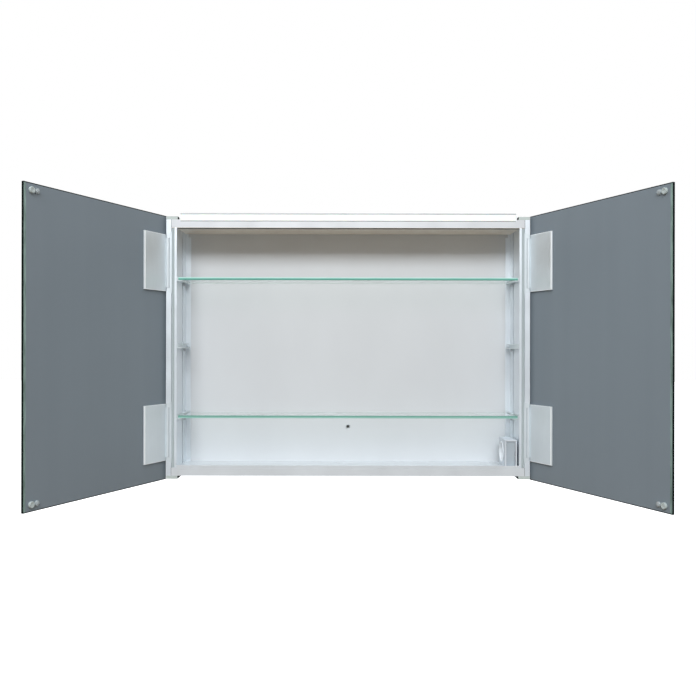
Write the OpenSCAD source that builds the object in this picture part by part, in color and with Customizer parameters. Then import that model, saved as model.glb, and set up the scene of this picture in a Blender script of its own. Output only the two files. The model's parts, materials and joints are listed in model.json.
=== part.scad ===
// Two-door mirror cabinet for a bathroom wall, with a light bar, glass shelves and a socket box.
// Millimetres. X runs along the wall, Y points into the wall and Z points up. The wall face is the
// plane y = 0, and the origin is the centre of the top panel's rear edge, where it meets the wall.
// The modules work in heights above the cabinet's mid-height, and hung() moves them to the origin.

/* [Cabinet] */
// Width over the two side panels
body_w = 800; // [600:10:1000]
// Height over the end caps of the side panels
body_h = 578; // [520:2:800]
// Depth from the wall to the front edge of the side panels
body_d = 110; // [105:1:160]
// Thickness of a side panel
side_t = 23; // [22:1:30]
// Width of the plain band along the outer front edge of a side panel
band_w = 11; // [10:0.5:12]
// Thickness of the top and bottom panels
rail_t = 18; // [16:1:24]
// Height of an end cap above or below a side panel
cap_h = 7; // [5:1:10]
// Width of an end cap
cap_w = 25; // [24:1:29]
// Wall thickness of the hollow profiles
profile_wall = 3; // [2:0.5:3.5]

/* [Side panel details] */
// Width of the groove beside the front band
groove_w = 7; // [4:0.5:8]
// Depth of that groove
groove_d = 4; // [2:0.5:6]
// Distance of the shelf channel's middle behind the front edge
channel_back = 63; // [50:1:70]
// Width of the shelf channel's mouth
channel_mouth = 8; // [6:0.5:9]
// Width of the shelf channel behind its mouth
channel_w = 14; // [12:0.5:16]
// Depth of the shelf channel behind its lips
channel_depth = 4.5; // [4:0.1:5]
// Thickness of the channel's lips
channel_lip = 1.6; // [1.2:0.1:2]
// Width of the flange that holds the back panel
flange_w = 11.5; // [6:0.5:14]
// Thickness of that flange
flange_t = 1.5; // [1:0.1:2]
// Height of the strip that stands up along the front of the floor
floor_lip_h = 5; // [2:0.5:8]
// Thickness of that strip
floor_lip_t = 2.5; // [2:0.5:4]

/* [Back panel] */
// Thickness of the back panel
back_t = 3; // [2:0.5:4]
// Free depth between the back panel and the wall
back_gap = 8.5; // [8.5:0.5:14]
// How far the back panel sits in its slots
back_inset = 4; // [3:0.5:5]
// Height of the fixing hole below mid-height
fixing_drop = 183; // [120:1:200]
// Bore radius of the fixing hole's bush
fixing_r = 3.2; // [2.5:0.1:4]

/* [Doors] */
// Thickness of the mirror glass
glass_t = 5; // [4:0.5:6]
// Gap between a closed door and the front edge of the cabinet
door_gap = 5; // [5:0.5:7]
// Gap between the two closed doors
centre_gap = 2; // [1.5:0.5:6]
// How far a door stands out past the side panel
door_side_over = 1.5; // [0.5:0.5:2]
// How far a door stands out past the end caps, above and below
door_end_over = 2; // [0:0.5:4]
// Angle between a door's open and closed positions
open_angle = 114.3; // [60:0.1:115]

/* [Hinges] */
// Height of a hinge's middle above or below mid-height
hinge_level = 186.5; // [120:0.5:190]
// Height of a hinge's cover plate
plate_h = 125; // [80:1:130]
// Width of a cover plate from the door's hinge edge
plate_w = 80; // [40:1:90]
// Thickness of a cover plate
plate_t = 3.2; // [2.5:0.1:3.2]
// Thickness of the adhesive pad under a cover plate
pad_t = 0.8; // [0.5:0.1:0.8]
// Distance of the hinge axis from the door's hinge edge
axis_in = 4.5; // [4:0.1:5]
// Distance of the hinge axis behind the mirror's inner face
axis_back = 7.5; // [7.3:0.1:8]
// Radius of a hinge pin
pin_r = 1.5; // [1:0.1:1.8]
// Radius of the knuckle on a cover plate
knuckle_r = 3.7; // [3.6:0.05:3.8]
// Depth of a hinge base in the side panel
base_depth = 11; // [10.5:0.5:13]
// How much taller a hinge base is at its inner edge, above and below
base_slant = 5; // [2:0.5:8]
// Height of the ears that hold the pin, at each end of the knuckle
ear_h = 7.5; // [6:0.5:12]

/* [Shelves] */
// Thickness of a glass shelf
shelf_t = 6; // [4:0.5:8]
// Depth of a glass shelf
shelf_d = 93; // [80:1:93]
// Height of the upper shelf above mid-height
upper_shelf_level = 152; // [120:1:160]
// Depth of the lower shelf below mid-height
lower_shelf_drop = 152.5; // [100:0.5:160]
// Height of the spare carriers above mid-height
spare_level = 3.7; // [-20:0.1:20]
// Length of a shelf carrier
carrier_l = 88; // [80:1:90]
// How far a carrier's lower lip reaches under the shelf
carrier_lip = 8; // [6:0.5:12]
// Thickness of a carrier's web and lips
carrier_t = 2.3; // [1.8:0.1:2.6]
// Radius of a carrier's clamping screw
clamp_r = 2; // [1.5:0.1:2.5]

/* [Light bar] */
// Gap between an end of the light bar and the end cap beside it
bar_end_gap = 3.5; // [1:0.5:60]
// Height of the light bar above the top panel
bar_h = 14; // [12:1:20]
// Depth of the light bar
bar_d = 40; // [30:1:46]
// Depth of the step in the top panel that the light cover sits in
bar_step_d = 12; // [8:1:16]
// Height of that step
bar_step_h = 3; // [3:0.5:4]
// Thickness of the light bar's metal
bar_t = 2.5; // [2:0.5:3]
// Thickness of the light cover
cover_t = 2.5; // [2:0.5:3]
// Distance between the lamps on the light board
lamp_pitch = 24; // [12:1:60]
// Length of the lamp driver
driver_l = 190; // [120:1:200]

/* [Socket box] */
// Width of the socket box
box_w = 26; // [25:1:32]
// Depth of the socket box
box_d = 67; // [62:1:72]
// Height of the socket box
box_h = 61; // [56:1:70]
// Gap between the socket box and the side panel
box_side_gap = 4.3; // [2:0.1:8]
// Distance of the socket box behind the front edge of the cabinet
box_back = 3; // [3:0.5:6]
// Wall thickness of the socket box
box_wall = 2.5; // [2:0.5:3]
// Radius of the well that takes a plug
well_r = 19.6; // [19:0.1:20]
// Depth of that well
well_depth = 17.5; // [15:0.5:18]
// Rocker's tilt to each side
rocker_tilt = 4; // [2:0.5:4]

/* [Hidden] */

// Clearance of a sheet in its slot, and of a cover in its seat
slot_gap = 0.1;
// Clearance between pieces that slide past each other
slide_gap = 0.2;
// Radial clearance of a turning pin in its bore
turn_gap = 0.05;
// How far a cut runs past the face that it opens
past = 1;

half_w = body_w / 2;
inner_x = half_w - side_t;
band_x = half_w - band_w;
front_y = -body_d;
inner_z = body_h / 2 - cap_h - rail_t;
rail_top_z = inner_z + rail_t;
hang_z = inner_z + rail_t / 2;
back_y = -back_gap - back_t;
bush_t = 1;
channel_y = front_y + channel_back;
channel_bottom_x = inner_x + channel_lip + channel_depth;

// Screws that hold the side panels to the top and bottom panels
frame_screw_x = half_w - 17;
frame_screw_r = 2.1;
frame_screw_head_r = 4.2;
frame_screw_grip = 25;
frame_screw_backs = [13, 85];
screw_boss_r = 4.5;

// Walls of the side panel around the shelf channel and in front of the back panel
channel_floor = 2.4;
web_front = 8;
web_back = 9;
slot_web = 3.5;

door_edge_x = half_w + door_side_over;
door_w = door_edge_x - centre_gap / 2;
door_h = body_h + 2 * door_end_over;
door_y = front_y - door_gap;
axis_x = door_edge_x - axis_in;
axis_y = door_y + axis_back;
base_x = band_x - 1;
base_screw_x = axis_x - 1;
base_screw_r = 1.25;
base_screw_head_r = 2.2;
base_screw_l = 14;
base_screw_spread = 35;
groove_r = knuckle_r + 0.4;
ear_r = axis_back - plate_t - pad_t - 0.4;
knuckle_h = plate_h - 2 * ear_h - 0.6;
pin_l = plate_h - 5;

carrier_x = inner_x - slide_gap;
carrier_y = front_y + 3;
carrier_tab_h = 7;
clamp_drop = shelf_t / 2 + carrier_t + 3.5;
lip_gap = 0.3;

bar_l = body_w - 2 * cap_w - 2 * bar_end_gap;
bar_top_z = rail_top_z + bar_h;
bar_seat_z = rail_top_z - bar_step_h;
bar_back_y = front_y + bar_d;
end_t = 2.5;
driver_h = 13;
driver_y = [-62, -20];
driver_shift = 75;
terminal_x = [inner_x - 75, inner_x - 7];
gland_x = terminal_x[0] + 18;
gland_thread_r = 4.5;

box_x = inner_x - box_side_gap - box_w;
box_y = front_y + box_back;
socket_ring_r = well_r + 2.2;
socket_y = box_y + box_d - box_wall - socket_ring_r - 1.5;
box_mid_z = -inner_z + box_h / 2;
socket_rim = 1;
clip_w = 6;
clip_depth = 1;
rocker_w = box_w - 2 * box_wall - 2.4;
rocker_h = box_h - 2 * box_wall - 3;
rocker_axis_y = box_y + 8;
lead_r = 3;
lead_bend = 10;
lead_x = box_x + box_w / 2;
lead_y = -lead_r - 1.5;

bracket_x = inner_x - 77;
bracket_w = 50;
bracket_h = 60;
bracket_t = 2.5;
bracket_hole_r = 3.5;
bracket_hole_drop = 32;
bracket_screw_y = -bracket_t - 2.9;
bracket_screw_xs = [-15, 15];
bracket_screw_r = 1.5;

$fn = 48;

// ---------- placing ----------

// Moves a piece from heights above mid-height to the origin at the top panel's wall edge
module hung() translate([0, 0, -hang_z]) children();

// Draws the right-hand piece as it is, or its mirror image for the left
module sided(side) {
    if (side > 0) children();
    else mirror([1, 0, 0]) children();
}

// Swings a right-hand door piece from closed to open
module swung() {
    translate([axis_x, axis_y, 0])
        rotate([0, 0, open_angle])
            translate([-axis_x, -axis_y, 0])
                children();
}

// Extrudes a section drawn in Y and Z along X, centred on the cabinet
module along_x(length) {
    translate([-length / 2, 0, 0])
        rotate([90, 0, 90])
            linear_extrude(height = length)
                children();
}

module rod_x(r, length) rotate([0, 90, 0]) cylinder(r = r, h = length);
module rod_y(r, length) rotate([-90, 0, 0]) cylinder(r = r, h = length);

// A rectangle of a right-hand side panel's section, by its distances from the outer and front faces
module side_area(from_outer, from_front) {
    translate([half_w - from_outer[1], front_y + from_front[0]])
        square([from_outer[1] - from_outer[0], from_front[1] - from_front[0]]);
}

// A countersunk screw that points along -Z from its head's flat face at the origin
module countersunk_screw(r, head_r, length) {
    head_depth = head_r - r;
    translate([0, 0, -length]) cylinder(r = r, h = length);
    translate([0, 0, -head_depth]) cylinder(r1 = r, r2 = head_r, h = head_depth);
}

// ---------- side panels ----------

module side_chambers() {
    solid_d = base_depth + base_screw_l + 1;
    web_start = channel_back - web_front;
    web_end = channel_back + web_back;
    chamber_end = side_t - profile_wall;
    channel_end = side_t - channel_lip - channel_depth - channel_floor;
    slot_start = body_d + back_y;
    side_area([profile_wall, chamber_end], [solid_d, web_start - profile_wall]);
    side_area([profile_wall, channel_end], [web_start, web_end]);
    side_area([profile_wall, chamber_end], [web_end + profile_wall, slot_start - slot_web]);
    side_area([profile_wall, side_t - back_inset - profile_wall],
        [slot_start, body_d - profile_wall]);
}

module side_section() {
    difference() {
        union() {
            translate([inner_x, front_y]) square([side_t, body_d]);
            translate([inner_x - flange_w, back_y - slot_gap - flange_t])
                square([flange_w + past, flange_t]);
        }
        translate([band_x - groove_w, front_y - past]) square([groove_w, groove_d + past]);
        translate([inner_x - past, channel_y - channel_mouth / 2])
            square([channel_lip + 2 * past, channel_mouth]);
        translate([inner_x + channel_lip, channel_y - channel_w / 2])
            square([channel_depth, channel_w]);
        translate([inner_x - past, back_y - slot_gap])
            square([back_inset + slot_gap + past, back_t + 2 * slot_gap]);
        difference() {
            side_chambers();
            for (back = frame_screw_backs)
                translate([frame_screw_x, front_y + back]) circle(r = screw_boss_r);
        }
    }
}

// Outline of a hinge base seen from the front, taller at its inner edge
module base_outline(inset, outer_x) {
    low = plate_h / 2 - inset;
    high = low + base_slant;
    polygon([[base_x + inset, -high], [half_w, -low], [outer_x, -low],
        [outer_x, low], [half_w, low], [base_x + inset, high]]);
}

module base_notch() {
    translate([0, front_y + base_depth, 0])
        rotate([90, 0, 0])
            linear_extrude(height = base_depth + past)
                base_outline(0, half_w + past);
}

// One side panel, with a small notch at the top of its flange
module side_panel(side) {
    cut_w = half_w - band_w - inner_x + flange_w + past;
    notch = [7, 4, 8];
    hung() sided(side) color("gainsboro") difference() {
        translate([0, 0, -rail_top_z]) linear_extrude(height = 2 * rail_top_z) side_section();
        for (z = [inner_z, -rail_top_z - past])
            translate([inner_x - flange_w - past, front_y - past, z])
                cube([cut_w, body_d + 2 * past, rail_t + past]);
        for (level = [-hinge_level, hinge_level]) translate([0, 0, level]) {
            base_notch();
            for (z = [-base_screw_spread, base_screw_spread])
                translate([base_screw_x, front_y + base_depth - past, z])
                    rod_y(base_screw_r, base_screw_l + past);
        }
        for (back = frame_screw_backs, end = [0, 1])
            mirror([0, 0, end])
                translate([frame_screw_x, front_y + back, inner_z - frame_screw_grip])
                    cylinder(r = frame_screw_r, h = frame_screw_grip + past);
        translate([inner_x - flange_w - past, back_y - notch[1], inner_z - notch[2]])
            cube([notch[0], notch[1] - slot_gap, notch[2] + past]);
    }
}

module end_cap(side, end) {
    cap_wall = 2;
    cap_d = body_d - 2;
    hung() sided(side) mirror([0, 0, end > 0 ? 0 : 1])
        color("gainsboro") difference() {
            translate([half_w - cap_w, front_y, rail_top_z]) cube([cap_w, cap_d, cap_h]);
            translate([half_w - cap_w + cap_wall, front_y + cap_wall, rail_top_z - past])
                cube([cap_w - 2 * cap_wall, cap_d - 2 * cap_wall, cap_h - cap_wall + past]);
        }
}

// ---------- top, bottom and back ----------

// Section of the top panel in Y and Z, which the bottom panel shares upside down
module rail_section() {
    floor_z = inner_z + profile_wall;
    roof_z = rail_top_z - profile_wall;
    chamber_back = back_y - slot_web;
    middle_y = (front_y + bar_step_d + chamber_back) / 2;
    half_web = 1.5;
    difference() {
        translate([front_y, inner_z]) square([body_d, rail_t]);
        translate([back_y - slot_gap, inner_z - past])
            square([back_t + 2 * slot_gap, back_inset + slot_gap + past]);
        translate([front_y + profile_wall, floor_z])
            square([bar_step_d - 2 * profile_wall, roof_z - floor_z - bar_step_h]);
        for (side = [-1, 1])
            translate([(side < 0 ? front_y + bar_step_d : middle_y) + half_web, floor_z])
                square([chamber_back - middle_y - 2 * half_web, roof_z - floor_z]);
    }
}

module frame_screw_holes() {
    for (side = [-1, 1], back = frame_screw_backs)
        translate([side * frame_screw_x, front_y + back, 0]) {
            translate([0, 0, inner_z - past]) cylinder(r = frame_screw_r, h = rail_t + 2 * past);
            translate([0, 0, rail_top_z - frame_screw_head_r + frame_screw_r])
                cylinder(r1 = frame_screw_r, r2 = frame_screw_head_r,
                    h = frame_screw_head_r - frame_screw_r);
        }
}

module top_panel() {
    step_l = bar_l + 2 * slot_gap;
    lead_room = 1;
    screw_depth = 10;
    hung() color("gainsboro") difference() {
        along_x(2 * band_x) rail_section();
        translate([-step_l / 2, front_y - past, bar_seat_z])
            cube([step_l, bar_step_d + past + slot_gap, bar_step_h + past]);
        frame_screw_holes();
        translate([lead_x - lead_r - lead_room, lead_y - lead_r - 2 * lead_room, inner_z - past])
            cube([2 * (lead_r + lead_room), 3 * lead_r, rail_t + 2 * past]);
        for (side = [-1, 1], x = bracket_screw_xs)
            translate([side * bracket_x + x, bracket_screw_y, inner_z - past])
                cylinder(r = bracket_screw_r, h = screw_depth + past);
    }
}

module bottom_panel() {
    line_gap = 0.8;
    lip_l = 2 * inner_x - 2 * slot_gap;
    hung() color("gainsboro") {
        difference() {
            union() {
                mirror([0, 0, 1]) along_x(2 * band_x) rail_section();
                translate([-lip_l / 2, front_y, -inner_z - 2 * line_gap])
                    cube([lip_l, floor_lip_t, floor_lip_h + 2 * line_gap]);
            }
            translate([-lip_l / 2, front_y - past, -inner_z - 1.5 * line_gap])
                cube([lip_l, line_gap + past, line_gap]);
            mirror([0, 0, 1]) frame_screw_holes();
        }
    }
}

module frame_screws() {
    for (side = [-1, 1], end = [0, 1], back = frame_screw_backs)
        hung() mirror([0, 0, end])
            translate([side * frame_screw_x, front_y + back, rail_top_z])
                color("silver")
                    countersunk_screw(frame_screw_r, frame_screw_head_r,
                        rail_t + frame_screw_grip);
}

module back_panel() {
    lead_hole_r = 7;
    sheet_w = 2 * (inner_x + back_inset);
    sheet_h = 2 * (inner_z + back_inset);
    hung() color("whitesmoke") difference() {
        translate([-sheet_w / 2, back_y, -sheet_h / 2]) cube([sheet_w, back_t, sheet_h]);
        translate([0, back_y - past, -fixing_drop])
            rod_y(fixing_r + bush_t, back_t + 2 * past);
        translate([lead_x, back_y - past, box_mid_z + 1.5])
            rod_y(lead_hole_r, back_t + 2 * past);
    }
}

module fixing_bush() {
    rim_h = 1;
    hung() color("silver") translate([0, 0, -fixing_drop]) difference() {
        union() {
            translate([0, back_y - rim_h, 0]) rod_y(fixing_r + 2 * bush_t, rim_h);
            translate([0, back_y, 0]) rod_y(fixing_r + bush_t, back_t);
        }
        translate([0, back_y - rim_h - past, 0]) rod_y(fixing_r, back_t + rim_h + 2 * past);
    }
}

module hanging_bracket(side) {
    hung() sided(side) color("silver") translate([bracket_x, 0, inner_z]) difference() {
        union() {
            translate([-bracket_w / 2, -bracket_t, -bracket_h])
                cube([bracket_w, bracket_t, bracket_h]);
            translate([-bracket_w / 2, -back_gap, -bracket_t])
                cube([bracket_w, back_gap, bracket_t]);
        }
        translate([0, -bracket_t - past, -bracket_hole_drop])
            rod_y(bracket_hole_r, bracket_t + 2 * past);
        for (x = bracket_screw_xs)
            translate([x, bracket_screw_y, -bracket_t - past])
                cylinder(r = bracket_screw_r, h = bracket_t + 2 * past);
    }
}

module hanging_bracket_screws() {
    head_r = 2.6;
    head_h = 1.6;
    grip = 8;
    for (side = [-1, 1], x = bracket_screw_xs)
        hung() color("silver")
            translate([side * bracket_x + x, bracket_screw_y, inner_z - bracket_t]) {
                translate([0, 0, -head_h]) cylinder(r = head_r, h = head_h);
                cylinder(r = bracket_screw_r, h = bracket_t + grip);
            }
}

// Rubber discs that keep the lower edge parallel to the wall
module wall_buffers() {
    buffer_r = 8;
    buffer_rise = 25;
    for (side = [-1, 1])
        hung() color("dimgray")
            translate([side * bracket_x, -back_gap, buffer_rise - inner_z])
                rod_y(buffer_r, back_gap);
}

// ---------- light bar ----------

module light_bar_housing() {
    hung() color("lightgray") along_x(bar_l - 2 * end_t) {
        translate([front_y, bar_top_z - bar_t]) square([bar_d, bar_t]);
        translate([bar_back_y - bar_t, rail_top_z]) square([bar_t, bar_h]);
        translate([front_y + bar_step_d + slot_gap, rail_top_z])
            square([bar_d - bar_step_d - slot_gap, bar_t]);
    }
}

module light_bar_cover() {
    cover_h = bar_top_z - bar_t - bar_seat_z;
    foot_h = bar_step_h - 0.5;
    hung() color("white") along_x(bar_l - 2 * end_t) {
        translate([front_y, bar_seat_z]) square([cover_t, cover_h]);
        translate([front_y, bar_seat_z]) square([bar_step_d, foot_h]);
    }
}

module light_bar_board() {
    board_t = 1.6;
    board_h = 7;
    lamp = 3;
    lamp_out = 1;
    lamp_up = 2;
    end_room = 10;
    board_l = bar_l - 2 * end_room;
    board_y = bar_back_y - bar_t - board_t;
    board_z = rail_top_z + bar_t + 0.5;
    lamps = floor((board_l - lamp) / lamp_pitch / 2);
    hung() color("ivory") {
        translate([-board_l / 2, board_y, board_z]) cube([board_l, board_t, board_h]);
        for (i = [-lamps : lamps])
            translate([i * lamp_pitch - lamp / 2, board_y - lamp_out, board_z + lamp_up])
                cube([lamp, lamp_out + board_t / 2, lamp]);
    }
}

module light_bar_ends() {
    for (side = [-1, 1])
        hung() sided(side) color("lightgray") translate([bar_l / 2 - end_t, 0, 0]) {
            translate([0, front_y, rail_top_z]) cube([end_t, bar_d, bar_h]);
            translate([0, front_y, bar_seat_z]) cube([end_t, bar_step_d, bar_step_h]);
        }
}

// The driver's case, with a foot at each end
module lamp_driver() {
    driver_d = driver_y[1] - driver_y[0];
    foot_l = 12;
    foot_t = 2;
    foot_in = 8;
    hung() color("white") translate([-driver_l / 2 - driver_shift, driver_y[0], rail_top_z]) {
        cube([driver_l, driver_d, driver_h]);
        for (x = [-foot_l, driver_l])
            translate([x, foot_in, 0]) cube([foot_l, driver_d - 2 * foot_in, foot_t]);
    }
}

module mains_terminal_box() {
    box_wall_t = 2;
    size = [terminal_x[1] - terminal_x[0], driver_y[1] - driver_y[0], driver_h];
    hung() color("white") translate([terminal_x[0], driver_y[0], rail_top_z]) difference() {
        cube(size);
        translate([box_wall_t, box_wall_t, box_wall_t])
            cube([size[0] - 2 * box_wall_t, size[1] - 2 * box_wall_t, size[2] - 2 * box_wall_t]);
        translate([gland_x - terminal_x[0], size[1] - box_wall_t - past, driver_h / 2])
            rod_y(gland_thread_r, box_wall_t + 2 * past);
    }
}

module mains_cable_gland() {
    thread_l = 3;
    collar_l = 5;
    nut_l = 7;
    gland_r = 6.3;
    cable_r = 3.6;
    hung() color("dimgray")
        translate([gland_x, driver_y[1], rail_top_z + driver_h / 2]) difference() {
            union() {
                translate([0, -thread_l, 0]) rod_y(gland_thread_r, thread_l + past);
                rod_y(gland_r, collar_l);
                translate([0, collar_l, 0]) rotate([-90, 0, 0])
                    cylinder(r = gland_r, h = nut_l, $fn = 6);
            }
            translate([0, -thread_l - past, 0])
                rod_y(cable_r, thread_l + collar_l + nut_l + 2 * past);
        }
}

// Leads on the top panel, from the terminal box to the driver and from the driver to the light bar
module top_leads() {
    driver_end = driver_l / 2 - driver_shift;
    supply_r = 2.5;
    light_lead_r = 2;
    light_lead_in = 20;
    hung() color("dimgray") {
        translate([driver_end, driver_y[0] + 2 * supply_r, rail_top_z + supply_r])
            rod_x(supply_r, terminal_x[0] - driver_end);
        translate([driver_end - light_lead_in, bar_back_y, rail_top_z + driver_h / 2])
            rod_y(light_lead_r, driver_y[0] - bar_back_y);
    }
}

// A quarter ring of lead in the Y and Z plane, centred on the origin
module lead_elbow() {
    rotate([90, 0, 90])
        rotate_extrude(angle = 90)
            translate([lead_bend, 0]) circle(r = lead_r);
}

// Feeds the socket box: out of the terminal box, down behind the back panel and forward
module socket_lead() {
    top_z = rail_top_z + driver_h / 2;
    bend_y = lead_y - lead_bend;
    hung() color("dimgray") translate([lead_x, 0, 0]) {
        translate([0, driver_y[1], top_z]) rod_y(lead_r, bend_y - driver_y[1]);
        translate([0, bend_y, top_z - lead_bend]) lead_elbow();
        translate([0, lead_y, box_mid_z + lead_bend])
            cylinder(r = lead_r, h = top_z - lead_bend - box_mid_z - lead_bend);
        translate([0, bend_y, box_mid_z + lead_bend]) rotate([-90, 0, 0]) lead_elbow();
        translate([0, box_y + box_d, box_mid_z]) rod_y(lead_r, bend_y - box_y - box_d);
    }
}

// ---------- shelves and carriers ----------

module shelf(level) {
    half_l = carrier_x - carrier_t - slide_gap;
    shelf_in = 2.5;
    hung() color("palegreen", 0.5)
        translate([-half_l, front_y + shelf_in, level - shelf_t / 2])
            cube([2 * half_l, shelf_d, shelf_t]);
}

// A fork-shaped bar that holds one end of a shelf, at the height of the shelf's middle
module carrier(side, level) {
    web_x = carrier_x - carrier_t;
    low = -shelf_t / 2 - carrier_t;
    high = shelf_t / 2 + lip_gap;
    upper_l = 50;
    upper_lip = carrier_lip - 2;
    tab_w = 16;
    hung() sided(side) color("silver") translate([0, 0, level]) difference() {
        union() {
            translate([web_x, carrier_y, low])
                cube([carrier_t, carrier_l, high + carrier_t - low]);
            translate([web_x - carrier_lip, carrier_y, low])
                cube([carrier_lip + past, carrier_l, carrier_t]);
            translate([web_x - upper_lip, channel_y - upper_l / 2, high])
                cube([upper_lip + past, upper_l, carrier_t]);
            translate([web_x, channel_y - tab_w / 2, low - carrier_tab_h])
                cube([carrier_t, tab_w, carrier_tab_h + past]);
        }
        translate([web_x - past, channel_y, -clamp_drop]) rod_x(clamp_r, carrier_t + 2 * past);
    }
}

module carrier_screws(level) {
    head_r = 3.2;
    head_l = 4;
    screw_l = carrier_t + channel_lip + channel_depth - slide_gap;
    for (side = [-1, 1])
        hung() sided(side) color("silver")
            translate([carrier_x - carrier_t, channel_y, level - clamp_drop]) {
                translate([-head_l, 0, 0]) rod_x(head_r, head_l);
                rod_x(clamp_r, screw_l);
            }
}

module channel_nuts(level) {
    nut_t = channel_depth - 2 * slide_gap;
    nut_w = channel_w - 3 * slide_gap;
    nut_h = 12;
    for (side = [-1, 1])
        hung() sided(side) color("silver")
            translate([inner_x + channel_lip + slide_gap, channel_y, level - clamp_drop])
                difference() {
                    translate([0, -nut_w / 2, -nut_h / 2]) cube([nut_t, nut_w, nut_h]);
                    translate([-past, 0, 0]) rod_x(clamp_r, nut_t + 2 * past);
                }
}

// ---------- socket box ----------

module socket_box() {
    ledge = 0.5;
    window_w = box_w - 2 * (box_wall + ledge);
    window_h = box_h - 2 * (box_wall + ledge);
    lead_room = 0.5;
    hung() color("gainsboro") translate([box_x, box_y, -inner_z]) difference() {
        cube([box_w, box_d, box_h]);
        translate([box_wall, box_wall, box_wall])
            cube([box_w - 2 * box_wall, box_d - 2 * box_wall, box_h - 2 * box_wall]);
        translate([box_wall + ledge, -past, box_wall + ledge])
            cube([window_w, box_wall + 2 * past, window_h]);
        translate([-past, socket_y - box_y, box_h / 2])
            rod_x(socket_ring_r + slot_gap, box_wall + 2 * past);
        translate([box_w / 2, box_d - box_wall - past, box_h / 2])
            rod_y(lead_r + lead_room, box_wall + 2 * past);
    }
}

// A round cup with a flange, two contact holes in its floor and a groove above and below
module socket_insert() {
    floor_t = 3;
    flange = 2;
    pin_pitch = 19;
    pin_hole_r = 2.6;
    groove_l = well_depth - 2 * socket_rim - slot_gap;
    hung() color("gainsboro") translate([box_x, socket_y, box_mid_z]) difference() {
        union() {
            translate([-socket_rim, 0, 0]) rod_x(socket_ring_r + flange, socket_rim);
            rod_x(socket_ring_r, well_depth + floor_t - socket_rim);
        }
        translate([-socket_rim - past, 0, 0]) rod_x(well_r, well_depth + past);
        for (y = [-pin_pitch / 2, pin_pitch / 2])
            translate([well_depth - socket_rim - past, y, 0])
                rod_x(pin_hole_r, floor_t + 2 * past);
        for (end = [0, 1]) mirror([0, 0, end])
            translate([socket_rim, -clip_w / 2 - slide_gap, well_r - past])
                cube([groove_l, clip_w + 2 * slide_gap, clip_depth + past]);
    }
}

module socket_earth_clips() {
    clip_t = 0.8;
    clip_l = well_depth - 2 * socket_rim - 3 * slide_gap;
    for (end = [0, 1])
        hung() color("silver") translate([box_x, socket_y, box_mid_z]) mirror([0, 0, end])
            translate([socket_rim + slide_gap, -clip_w / 2, well_r + clip_depth - clip_t])
                cube([clip_l, clip_w, clip_t]);
}

// The switch's fixed half: a block with two cheeks that hold the rocker's trunnions
module switch_module() {
    module_w = box_w - 2 * box_wall - slide_gap;
    cheek_t = (module_w - rocker_w - slide_gap) / 2;
    cheek_d = 11;
    cheek_h = 10;
    cheek_out = 3;
    block_t = 3;
    block_h = 40;
    hung() color("dimgray") translate([box_x + box_w / 2, rocker_axis_y, box_mid_z]) {
        translate([-module_w / 2, cheek_d - cheek_out - 1, -block_h / 2])
            cube([module_w, block_t, block_h]);
        for (side = [0, 1]) mirror([side, 0, 0]) difference() {
            translate([module_w / 2 - cheek_t, -cheek_out, -cheek_h / 2])
                cube([cheek_t, cheek_d, cheek_h]);
            translate([module_w / 2 - cheek_t - past, 0, 0])
                rod_x(pin_r + turn_gap, cheek_t + 2 * past);
        }
    }
}

// The rocker, resting with its lower end pressed in
module switch_rocker() {
    face_y = -6;
    face_t = 3;
    hub_r = 2.6;
    block = 4;
    block_in = 3;
    trunnion_l = box_w - 2 * box_wall - 0.4;
    hung() color("slategray") translate([box_x + box_w / 2, rocker_axis_y, box_mid_z])
        rotate([rocker_tilt, 0, 0]) {
            translate([-rocker_w / 2, face_y, -rocker_h / 2]) cube([rocker_w, face_t, rocker_h]);
            translate([block_in - rocker_w / 2, -block, -block / 2])
                cube([rocker_w - 2 * block_in, block, block]);
            translate([-rocker_w / 2, 0, 0]) rod_x(hub_r, rocker_w);
            translate([-trunnion_l / 2, 0, 0]) rod_x(pin_r, trunnion_l);
        }
}

// ---------- doors ----------

module door_mirror(side) {
    hung() sided(side) swung() color("slategray")
        translate([door_edge_x - door_w, door_y - glass_t, -door_h / 2])
            cube([door_w, glass_t, door_h]);
}

// A cover plate with the knuckle that turns on the pin
module hinge_plate(side, level) {
    web_w = 5;
    plate_l = plate_w - axis_in;
    hung() sided(side) swung() color("lightsteelblue") translate([axis_x, 0, level])
        difference() {
            union() {
                translate([-plate_l, door_y + pad_t, -plate_h / 2])
                    cube([plate_l, plate_t, plate_h]);
                translate([-web_w / 2, door_y + pad_t, -knuckle_h / 2])
                    cube([web_w, axis_back - pad_t, knuckle_h]);
                translate([0, axis_y, -knuckle_h / 2]) cylinder(r = knuckle_r, h = knuckle_h);
            }
            translate([0, axis_y, -plate_h / 2 - past])
                cylinder(r = pin_r + turn_gap, h = plate_h + 2 * past);
        }
}

module hinge_pads(side) {
    margin = 3;
    for (level = [-hinge_level, hinge_level])
        hung() sided(side) swung() color("gray")
            translate([door_edge_x - plate_w + margin, door_y, level - plate_h / 2 + margin])
                cube([plate_w - axis_in - 2 * margin, pad_t, plate_h - 2 * margin]);
}

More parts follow.
